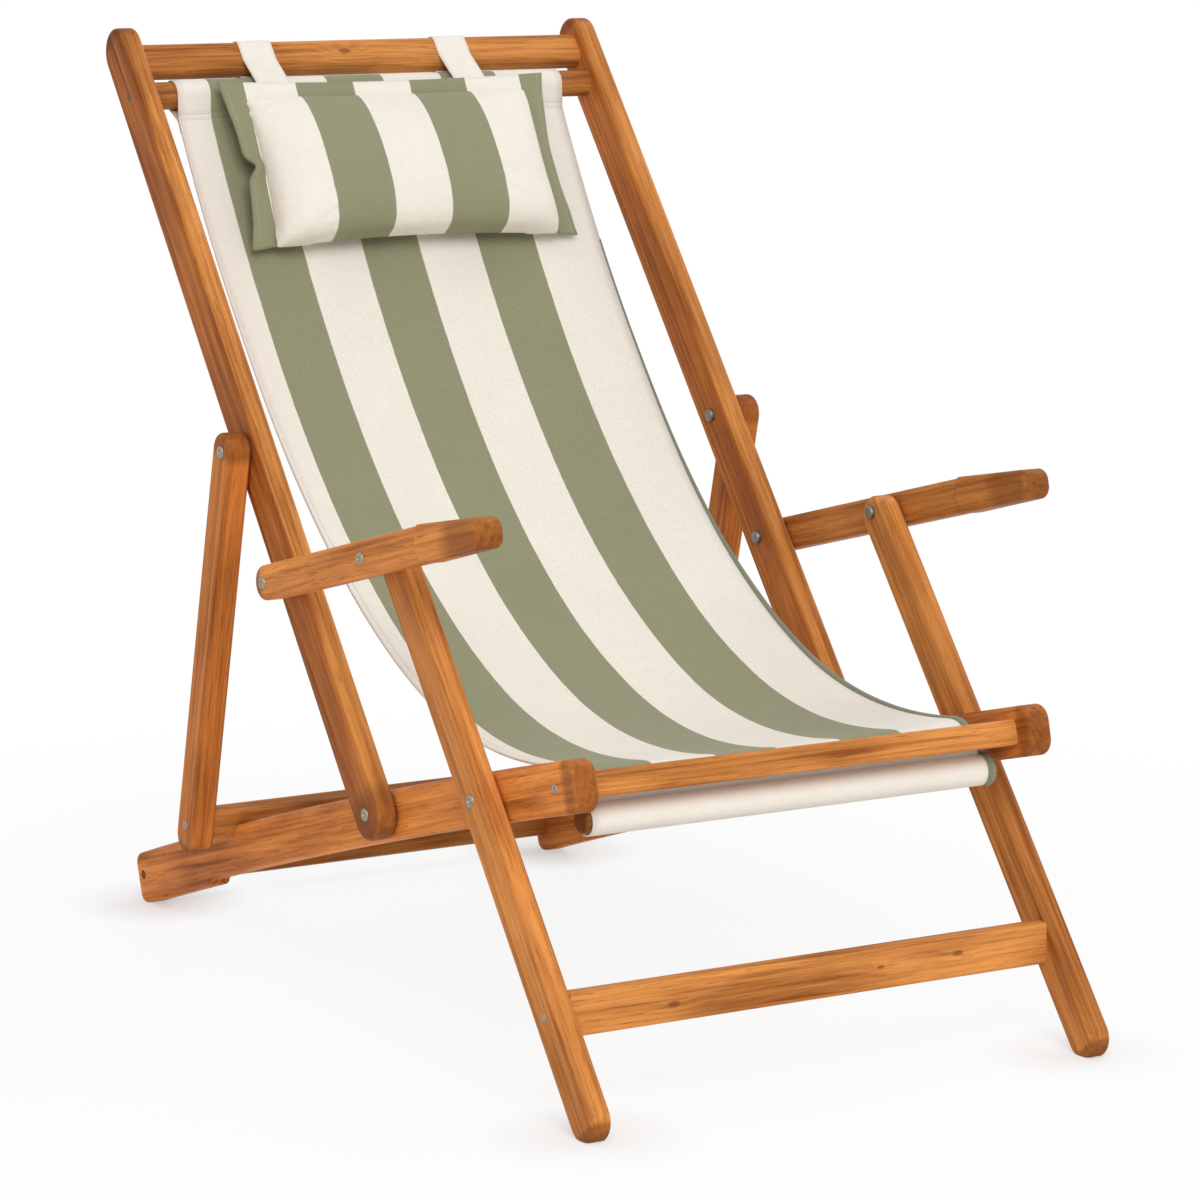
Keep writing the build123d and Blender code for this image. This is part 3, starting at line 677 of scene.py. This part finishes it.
class SlingLine:
    """The sling's side view: flap, top sleeve, hanging run, bend over the catch bar and front hem."""

    # Depth of the soft waves in the cloth, and of the creases below its top seam
    wave_depth = 0.0013
    crease_depth = 0.0011

    def __init__(self, shape):
        self.shape = shape
        lead = shape.front_depth / 2 + shape.slot + shape.catch_depth / 2
        drop = (shape.front_height - shape.catch_height) / 2
        tilt = angle_of(CATCH_BAR - FRONT_BAR) + degrees(atan2(drop, lead))
        ahead, above = heading(tilt), heading(tilt + 90)
        corner = CATCH_BAR - ahead * (shape.catch_depth / 2 - shape.catch_round)
        corner = corner + above * (shape.catch_height / 2 - shape.catch_round)
        self.front = corner + above * shape.bend
        top = TOP_DOWEL - heading(BACK_ANGLE) * shape.sleeve
        span, rise = top.y - self.front.y, top.z - self.front.z
        skew = asinh(rise / (2 * shape.curve * sinh(span / (2 * shape.curve))))
        self.lowest = (top.y + self.front.y) / 2 - shape.curve * skew

        seam_y = top.y - shape.sleeve * 0.4
        seam = self.hang(seam_y)
        slope = degrees(atan2(sinh((seam_y - self.lowest) / shape.curve), 1))
        behind = heading(slope - 90) * shape.thickness * 1.3
        reach = seam - TOP_DOWEL
        spread = degrees(acos(min(1.0, shape.sleeve / reach.length)))
        points = [self.hang(seam_y - shape.flap * cos(radians(slope))) + behind, seam + behind]
        entry = angle_of(reach)
        points += arc_points(TOP_DOWEL, shape.sleeve, entry + spread, entry - spread + 360)
        seam_mark = len(points)
        count = 150
        points += [self.hang(seam_y + (self.front.y - seam_y) * i / count) for i in range(count + 1)]
        bend_mark = len(points) - 1
        points += arc_points(corner, shape.bend, tilt + 90, tilt + 180, 15)[1:]
        fall = (points[-1] - FRONT_ROD).dot(above) - shape.hem
        points.append(points[-1] - above * fall)
        points += arc_points(FRONT_ROD, shape.hem, tilt + 90, tilt + 90 + 345, 10)[1:]
        self.path = Path(points)
        self.seam = self.path.marks[seam_mark]
        self.bend = self.path.marks[bend_mark]

    def hang(self, y):
        """Point of the hanging run."""
        curve = self.shape.curve
        drop = cosh((y - self.lowest) / curve) - cosh((self.front.y - self.lowest) / curve)
        return Vector((0, y, self.front.z + curve * drop))

    def edges(self, y):
        """Half the width, which narrows towards the front and the waist, and the middle's place across."""
        front, rear = FRONT_ROD.y - 2 * self.shape.hem, TOP_DOWEL.y + 2 * self.shape.sleeve
        share = (y - front) / (rear - front)
        half = self.shape.front_half + (self.shape.top_half - self.shape.front_half) * share
        drawn = self.shape.waist * (4 * share * (1 - share)) ** 2
        return half - drawn, self.shape.shift * share

    def place(self, share, distance):
        """Point, normal and flat place of the cloth: share runs from -1 to 1 across it."""
        point, normal = self.path.at(distance)
        half, middle = self.edges(point.y)
        across = middle + share * half
        run = (distance - self.seam) / (self.bend - self.seam)
        if 0 < run < 1:
            hang = 4 * run * (1 - run)
            edge = share * share
            sag = self.shape.trough * (1 - edge) * hang
            sag -= self.shape.lift * edge * ease(min(3 * run, 30 * (1 - run)))
            sag -= self.shape.rise * ease(4 * run - 2.9) * ease(45 * (1 - run))
            fold = noise.noise(Vector((across * 15 + distance * 5, distance * 3.2, 1.7)))
            crease = exp(-run * 9) * ease(run * 14) * sin(across * 62 + 9 * distance + 2.5 * fold)
            point = point - normal * (sag + self.wave_depth * fold * hang + self.crease_depth * crease)
        return point + Vector((across, 0, 0)), normal, (across, distance)


class ChairOperator:
    """What the chair's operators share."""

    bl_options = {"REGISTER"}


class CHAIR_OT_bars(ChairOperator, bpy.types.Operator):
    """Gives every wooden bar its own grain"""

    bl_idname = "chair.bars"
    bl_label = "Wooden Bars"

    # Grain direction, tone of the left and of the right bar, whose lower right tones are painted shade on the
    # right bars' inner faces, warmth as a painted reddening of shaded faces, tone of the side faces as
    # painted shade, and how far the darker ends reach in from the bar's two ends
    side_bars = {
        "seat_rail": (RAIL_ANGLE, (1.18, 1.18), 0.13, 1.0, (0.0, 0.026)),
        "back_stile": (BACK_ANGLE, (0.97, 0.94), 0.0, 0.8, (0.055, 0.02)),
        "front_leg": (BACK_ANGLE, (1.04, 0.9), 0.03, 1.0, (0.012, 0.0)),
        "armrest": (LINK_ANGLE, (1.16, 0.86), 0.06, 1.0, (0.018, 0.078)),
        "back_strut": (STRUT_ANGLE, (0.97, 0.97), 0.16, 1.0, (0.03, 0.012)),
    }
    cross_bars = {
        "top_bar": 0.9,
        "top_sling_dowel": 0.72,
        "front_seat_bar": 1.0,
        "sling_catch_bar": 0.85,
        "rear_floor_bar": 0.85,
        "front_stretcher": 1.0,
        "strut_crossbar": 0.85,
        # The rod's low tone is painted shade inside the hem.
        "front_sling_rod": 0.5,
    }
    # Knots on the faces that point forwards: place from the bar's middle, and radius
    knots = {
        "top_bar": [((-0.024, -0.0094, 0.0075), 0.0036)],
        "front_stretcher": [
            ((0.155, -0.009, 0.004), 0.003),
            ((0.07, -0.009, 0.002), 0.002),
            ((-0.15, -0.009, -0.003), 0.0032),
        ],
    }

    def execute(self, context):
        for number, (name, (angle, tones, *look)) in enumerate(self.side_bars.items()):
            for step, side in enumerate(("left", "right")):
                self.grow(f"{side}_{name}", angle, number * 2 + step + 1, tones[step], *look)
        for number, (name, tone) in enumerate(self.cross_bars.items()):
            middle = node_middle(name)
            knots = [(middle + Vector(place), radius) for place, radius in self.knots.get(name, ())]
            self.grow(name, None, 20 + number, tone, knots=knots)
        self.grow("rear_bar_plugs", None, 40, 0.3)
        return {"FINISHED"}

    def grow(self, name, *look, **extra):
        """Puts a wood of its own on one node."""
        node = nodes[name]
        dress(node, wood_material(f"{name.replace('_', ' ')} wood", node, *look, **extra))


class CHAIR_OT_hardware(ChairOperator, bpy.types.Operator):
    """Turns the bolt and screw heads and gives nuts and washers their finish"""

    bl_idname = "chair.hardware"
    bl_label = "Bolts and Screws"

    # Radius and height of each point of a head's profile, in millimetres above the bar's face
    bolt_profile = (
        (0, -0.8),
        (2.1, -0.8),
        (2.3, 1.5),
        (3.0, 2.2),
        (4.9, 1.8),
        (6.2, 0.8),
        (6.5, 0),
        (6.5, -0.4),
    )
    screw_profile = ((0, -1.2), (1.5, -1.2), (1.7, 0.3), (3.2, 0.55), (4.3, 0.3), (4.5, 0), (4.5, -0.6))
    # How far the CAD heads stand off the bar's face
    bolt_height = 0.003
    screw_height = 0.0006

    def execute(self, context):
        steel = metal_material("turned steel", (0.40, 0.35, 0.28), 0.4)
        dull = metal_material("dull steel", (0.27, 0.25, 0.22), 0.48)
        dark = metal_material("dark steel", (0.16, 0.12, 0.09), 0.5, 0.7)
        groups = frame["record"]["behaviour"]["bodies"]
        bodies = {node: body for body, names in groups.items() for node in names}
        for name, node in nodes.items():
            if name.endswith(("nuts", "washers")):
                dress(node, dull)
            elif name.endswith("bolts"):
                self.heads(name, self.bolt_profile, self.bolt_height, steel, bodies[name], "steel")
            elif name.endswith("screws"):
                finish = dark if name.startswith("top") else steel
                self.heads(name, self.screw_profile, self.screw_height, finish, bodies[name], "dark_steel")
        return {"FINISHED"}

    def heads(self, name, profile, height, material, body, slot):
        """One turned head at each side, on the bar's outer face."""
        low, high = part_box(name)
        middle = (low + high) / 2
        bm = bmesh.new()
        for side in (-1, 1):
            seat = Vector((side * (high.x - height), middle.y, middle.z))
            points = [Vector((side * rise / 1000, radius / 1000, 0)) for radius, rise in profile]
            verts = [bm.verts.new(seat + point) for point in points]
            edges = [bm.edges.new(ends) for ends in zip(verts, verts[1:])]
            bmesh.ops.spin(
                bm, geom=verts + edges, cent=seat, axis=(1, 0, 0), angle=2 * pi, steps=32, use_merge=True
            )
        bmesh.ops.remove_doubles(bm, verts=bm.verts, dist=0.00002)
        bmesh.ops.recalc_face_normals(bm, faces=bm.faces)
        piece = finish_piece(bm, f"{name}_heads", material, body)
        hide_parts(name)


class CHAIR_OT_sling(ChairOperator, bpy.types.Operator):
    """Hangs one canvas sheet from the top dowel to the rod under the front bars, with bound edges"""

    bl_idname = "chair.sling"
    bl_label = "Sling"

    columns = 36
    rows = 340
    green_stripes = 3
    # Length below the seam where the right edge has no tape, and length over which the tape widens
    plain_edge = 0.16
    taper = 0.85
    # Rows of stitches along the right tape, by their place across it
    tape_rows = (("across", 0.0044), ("across", -0.0044))
    # Binding's section: inwards from the edge as a share of the binding's width, and off the cloth
    # as a share of the cloth's thickness
    tape = ((1.0, 0.85), (0.15, 1.05), (-0.14, 0.5), (-0.14, -0.5), (0.15, -1.05), (1.0, -0.85))

    def execute(self, context):
        shape, look = context.scene.chair_sling, context.scene.chair_canvas
        line = SlingLine(shape)
        sling = self.sheet(line, shape, look)
        self.hang(sling)
        upper, lower = line.seam + self.plain_edge, line.path.length
        self.hang(self.binding(line, shape, -1, "left", look.white, line.seam, line.bend))
        # The right tape takes the binding colour, which is partly painted shade.
        self.hang(self.binding(line, shape, 1, "right", look.binding, upper, lower, self.tape_rows))
        return {"FINISHED"}

    def sheet(self, line, shape, look):
        """Striped canvas along the sling's line, with two rows of stitches at its top seam."""
        bm = bmesh.new()
        bmesh.ops.create_grid(bm, x_segments=self.columns, y_segments=self.rows, size=0.5, calc_uvs=True)
        flat = {}
        for vert in bm.verts:
            vert.co, _, flat[vert] = line.place(2 * vert.co.x, (vert.co.y + 0.5) * line.path.length)
        set_uvs(bm, flat)
        bmesh.ops.recalc_face_normals(bm, faces=bm.faces)
        rows = [("along", line.seam + 0.001), ("along", line.seam - 0.005)]
        stripes = (look.period, look.sling_offset, self.green_stripes)
        material = canvas_material("sling canvas", stripes, True, rows, plain_from=line.bend + shape.bend)
        sling = finish_piece(bm, "sling", material)
        thicken(sling, shape.thickness)
        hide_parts("sling_seat", "sling_back")
        return sling

    def binding(self, line, shape, side, name, tint, start, end, rows=()):
        """Folded tape sewn over one long edge."""
        last = len(self.tape) - 1
        bm = bmesh.new()
        bmesh.ops.create_grid(bm, x_segments=last, y_segments=self.rows, size=0.5, calc_uvs=True)
        flat = {}
        for vert in bm.verts:
            inwards, off = self.tape[round((vert.co.x + 0.5) * last)]
            distance = start + (vert.co.y + 0.5) * (end - start)
            wide = shape.binding * (0.2 + 0.8 * ease((distance - start) / self.taper))
            half = line.edges(line.path.at(distance)[0].y)[0]
            point, normal, _ = line.place(side * (1 - max(inwards, 0) * wide / half), distance)
            out = Vector((side * max(-inwards, 0) * wide, 0, 0))
            flat[vert] = (vert.co.x * 2 * shape.binding, distance)
            vert.co = point + out + normal * off * shape.thickness
        set_uvs(bm, flat)
        bmesh.ops.recalc_face_normals(bm, faces=bm.faces)
        canvas = canvas_material(f"{name} binding", None, True, rows, base=tint)
        piece = finish_piece(bm, f"{name}_binding", canvas)
        thicken(piece, shape.thickness * 0.4)
        return piece

    def hang(self, piece):
        """Puts the piece's place into its mesh."""
        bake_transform(piece)


class CHAIR_OT_pillow(ChairOperator, bpy.types.Operator):
    """Fills the head pillow, sews its border and hangs it by two straps"""

    bl_idname = "chair.pillow"
    bl_label = "Head Pillow"

    green_stripes = 3
    border_thickness = 0.0026
    # Border: height of its lower edge above the pillow's foot, and how far it reaches in behind the stuffing
    border_foot = 0.006
    border_inset = 0.026
    # Pinch in the left border: place and reach as shares of the height, and how far it goes in and forwards
    pinch_place = 0.47
    pinch_reach = 0.05
    pinch_in = 0.008
    pinch_forward = 0.007
    strap_thickness = 0.0014
    # Straps: gap to the top bar, how far below the pillow's top edge they leave it, and the length sewn to it
    strap_gap = 0.0011
    strap_tuck = 0.008
    strap_sewn = 0.012
    # Filling: size of its even faces, pressure and steps of the cloth simulation
    face_size = 0.005
    pressure = 4
    steps = 20

    def execute(self, context):
        shape, look = context.scene.chair_pillow, context.scene.chair_canvas
        low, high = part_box("head_pillow")
        lean = degrees(shape.lean)
        self.shape = shape
        self.up, self.out = heading(lean), heading(lean + 90)
        self.foot = Vector((0, high.y - shape.height * cos(shape.lean), low.z))
        stripes = (look.pillow_period, look.pillow_offset, self.green_stripes)
        self.stuffing(canvas_material("pillow canvas", stripes))
        self.border(stripes)
        webbing = canvas_material("strap canvas")
        for name in ("left", "right"):
            self.strap(name, webbing)
        return {"FINISHED"}

    def at(self, across, above, off):
        """Point across the pillow, above its foot and off its back."""
        return self.foot + Vector((across, 0, 0)) + self.up * above + self.out * off

    def seam_box(self):
        """Left, right and top of the seam round the stuffing."""
        shape = self.shape
        left, right = shape.left + shape.left_border, shape.right - shape.right_border
        return left, right, shape.height - shape.top_border

    def stuffing(self, material):
        """Two panels sewn round their edge and filled, fullest low down and flat on the sling."""
        shape = self.shape
        left, right, top = self.seam_box()
        bm = bmesh.new()
        for front in (True, False):
            made = bmesh.ops.create_grid(bm, x_segments=80, y_segments=40, size=1.0)
            for vert in made["verts"]:
                p, q = vert.co.x, vert.co.y
                full = ((1 - p**8) * (1 - abs(q) ** (5 if q < 0 else 2.4))) ** 0.55
                rise = shape.crown * full * (1 - 0.25 * q) if front else -shape.seam * 0.85 * full
                across = (left + right) / 2 + p * ((right - left) / 2 - shape.draw * 0.5 * (1 - q * q))
                above = top / 2 + q * (top / 2 - shape.draw * (0.3 if q > 0 else 0.7) * (1 - p * p))
                vert.co = self.at(across, above, shape.seam + rise)
        bmesh.ops.remove_doubles(bm, verts=bm.verts, dist=0.0004)
        bmesh.ops.recalc_face_normals(bm, faces=bm.faces)
        piece = finish_piece(bm, "pillow_stuffing", material)
        self.fill(piece)
        soften(piece)
        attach(piece, "back_frame")
        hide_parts("head_pillow")

    def fill(self, piece):
        """Blows the sewn panels up by cloth simulation, with the seam held, and keeps the result."""
        scene = bpy.context.scene
        remesh = piece.modifiers.new("Even faces", "REMESH")
        remesh.mode = "VOXEL"
        remesh.voxel_size = self.face_size
        keep_shape(piece)
        points = piece.data.vertices
        before = [vert.co.copy() for vert in points]
        seam = piece.vertex_groups.new(name="seam")
        seam.add([vert.index for vert in points if abs(vert.normal.dot(self.out)) < 0.5], 1.0, "REPLACE")
        cloth = piece.modifiers.new("Filling", "CLOTH")
        settings = cloth.settings
        settings.quality = 6
        settings.mass = 0.2
        settings.vertex_group_mass = seam.name
        settings.use_pressure = True
        settings.uniform_pressure_force = self.pressure
        settings.effector_weights.gravity = 0
        settings.bending_stiffness = 1
        cloth.point_cache.frame_end = self.steps
        for step in range(1, self.steps + 1):
            scene.frame_set(step)
        keep_shape(piece)
        scene.frame_set(1)
        for vert, old in zip(piece.data.vertices, before):
            move = vert.co - old
            move *= min(1.0, self.shape.swell / max(move.length, 1e-6))
            off = (old + move - self.foot).dot(self.out)
            vert.co = old + move + self.out * max(0.0, 0.0005 - off)

    def border(self, stripes):
        """Flat sewn edge round the stuffing, drawn in at the ends and pinched half way up the left."""
        shape = self.shape
        left, right, top = self.seam_box()
        foot, inset = self.border_foot, self.border_inset
        bm = bmesh.new()
        bmesh.ops.create_grid(bm, x_segments=96, y_segments=46, size=0.5, calc_uvs=True)
        flat = {}
        for vert in bm.verts:
            p, q = 2 * vert.co.x, vert.co.y + 0.5
            across = shape.left + (p + 1) / 2 * (shape.right - shape.left)
            above = foot + q * (shape.height - foot)
            flat[vert] = (across, above)
            rim = ease((abs(p) - 0.8) / 0.2)
            pinch = exp(-(((q - self.pinch_place) / self.pinch_reach) ** 2)) * rim * (p < 0)
            wave = noise.noise(Vector((p * 2.2, q * 4.0, 4.2)))
            across += self.pinch_in * pinch - p * shape.draw * (1 - (2 * q - 1) ** 2) * rim
            above -= 0.004 * rim * (1 - q) ** 3 + shape.draw * 0.4 * (1 - p * p) * q
            off = shape.seam + 0.003 * wave * rim + self.pinch_forward * pinch - 0.004 * ease(1 - 6 * q)
            vert.co = self.at(across, above, off)
        set_uvs(bm, flat)
        inner = []
        for face in bm.faces:
            middle = sum((Vector(flat[vert]) for vert in face.verts), Vector((0, 0))) / len(face.verts)
            if left + inset < middle.x < right - inset and middle.y < top - inset:
                inner.append(face)
        bmesh.ops.delete(bm, geom=inner, context="FACES")
        bmesh.ops.recalc_face_normals(bm, faces=bm.faces)
        rows = [("across", shape.left + 0.006), ("across", shape.right - 0.006)]
        canvas = canvas_material("border canvas", stripes, True, rows, ends=(left + 0.004, right))
        piece = finish_piece(bm, "pillow_border", canvas)
        thicken(piece, self.border_thickness)
        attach(piece, "back_frame")
        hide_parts("head_pillow")

    def strap(self, name, material):
        """Webbing from the pillow's top edge, over the top bar and back under it."""
        shape = self.shape
        node = f"{name}_pillow_strap"
        middle = node_middle(node).x + shape.strap_shift
        run, front = heading(BACK_ANGLE), heading(BACK_ANGLE + 90)
        deep, tall = shape.bar_depth / 2 - shape.bar_round, shape.bar_height / 2 - shape.bar_round
        start = self.at(0, shape.height - self.strap_tuck, shape.seam - 0.0024)
        meets = TOP_BAR + front * (shape.bar_depth / 2 + self.strap_gap) - run * tall
        points = [start - self.up * self.strap_sewn, start, meets]
        radius = shape.bar_round + self.strap_gap
        for across, along, begin, end in ((1, 1, 90, 0), (-1, 1, 0, -90), (-1, -1, -90, -180)):
            centre = TOP_BAR + front * deep * across + run * tall * along
            points += arc_points(centre, radius, BACK_ANGLE + begin, BACK_ANGLE + end, 15)
        points.append(start + self.up * 0.003 - self.out * 0.003)
        path = Path([Vector((0, point.y, point.z)) for point in points])
        bm = bmesh.new()
        bmesh.ops.create_grid(bm, x_segments=8, y_segments=90, size=0.5, calc_uvs=True)
        for vert in bm.verts:
            across = middle + vert.co.x * shape.strap_width
            vert.co = path.at((vert.co.y + 0.5) * path.length)[0] + Vector((across, 0, 0))
        bmesh.ops.recalc_face_normals(bm, faces=bm.faces)
        piece = finish_piece(bm, f"{name}_strap", material, "back_frame")
        thicken(piece, self.strap_thickness)
        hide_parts(node)


class CHAIR_OT_stage(ChairOperator, bpy.types.Operator):
    """Sets the pale floor, the soft light and the camera"""

    bl_idname = "chair.stage"
    bl_label = "Stage"

    floor_reach = 14
    floor_drop = 0.0005
    # Place, aim and size of each lamp, and its share of the key light's power
    lamps = {
        "key": ((-1.1, -3.1, 2.9), (0, 0, 0.35), 2.4, 1.0),
        "rim": ((2.4, 0.8, 2.6), (0, 0, 0.4), 2.0, 0.25),
    }

    def execute(self, context):
        scene, stage = context.scene, context.scene.chair_stage
        scene.view_settings.view_transform = "Standard"
        bm = bmesh.new()
        bmesh.ops.create_grid(bm, x_segments=1, y_segments=1, size=self.floor_reach)
        floor = finish_piece(bm, "floor", floor_material(stage))
        floor.location.z = -self.floor_drop
        self.sky(scene, stage)
        for name, (spot, target, size, share) in self.lamps.items():
            self.lamp(name, spot, target, size, stage.key * share)
        camera = bpy.data.cameras.new("photo camera")
        camera.lens = stage.lens
        camera.sensor_width = 36
        camera.clip_end = 60
        scene.camera = self.aimed("photo camera", camera, stage.camera_place, stage.camera_target)
        return {"FINISHED"}

    def sky(self, scene, stage):
        """Even white light, seen as plain white."""
        world = bpy.data.worlds.new("studio")
        world.use_nodes = True
        scene.world = world
        tree = world.node_tree
        background = tree.nodes["Background"]
        background.inputs["Color"].default_value = (1, 1, 1, 1)
        put(background.inputs["Strength"], ramp(tree, seen_rays(tree), 0.0, 1.0, stage.sky, 1.0))

    def lamp(self, name, place, target, size, power):
        """Square area lamp aimed at a point."""
        light = bpy.data.lights.new(name, "AREA")
        light.size = size
        light.energy = power
        self.aimed(name, light, place, target)

    def aimed(self, name, data, place, target):
        """Lamp or camera at a place, turned to a point."""
        holder = bpy.data.objects.new(name, data)
        bpy.context.scene.collection.objects.link(holder)
        holder.location = place
        holder.rotation_euler = (Vector(target) - Vector(place)).to_track_quat("-Z", "Y").to_euler()
        return holder


class CHAIR_PT_panel(bpy.types.Panel):
    """Steps that dress the chair"""

    bl_label = "Folding Lounge Chair"
    bl_idname = "CHAIR_PT_panel"
    bl_space_type = "VIEW_3D"
    bl_region_type = "UI"
    bl_category = "Chair"

    def draw(self, context):
        for operator in OPERATORS:
            self.layout.operator(operator.bl_idname)


SETTINGS = {
    "chair_wood": ChairWood,
    "chair_canvas": ChairCanvas,
    "chair_sling": ChairSling,
    "chair_pillow": ChairPillow,
    "chair_stage": ChairStage,
}
OPERATORS = (CHAIR_OT_stage, CHAIR_OT_bars, CHAIR_OT_hardware, CHAIR_OT_sling, CHAIR_OT_pillow)
CLASSES = (*SETTINGS.values(), *OPERATORS, CHAIR_PT_panel)


def register():
    for cls in CLASSES:
        bpy.utils.register_class(cls)
    for name, cls in SETTINGS.items():
        setattr(bpy.types.Scene, name, PointerProperty(type=cls))


def unregister():
    for name in SETTINGS:
        delattr(bpy.types.Scene, name)
    for cls in reversed(CLASSES):
        bpy.utils.unregister_class(cls)


def main():
    """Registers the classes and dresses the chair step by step."""
    register()
    bpy.ops.chair.stage()
    bpy.ops.chair.bars()
    bpy.ops.chair.hardware()
    bpy.ops.chair.sling()
    bpy.ops.chair.pillow()


if __name__ == "__main__":
    main()
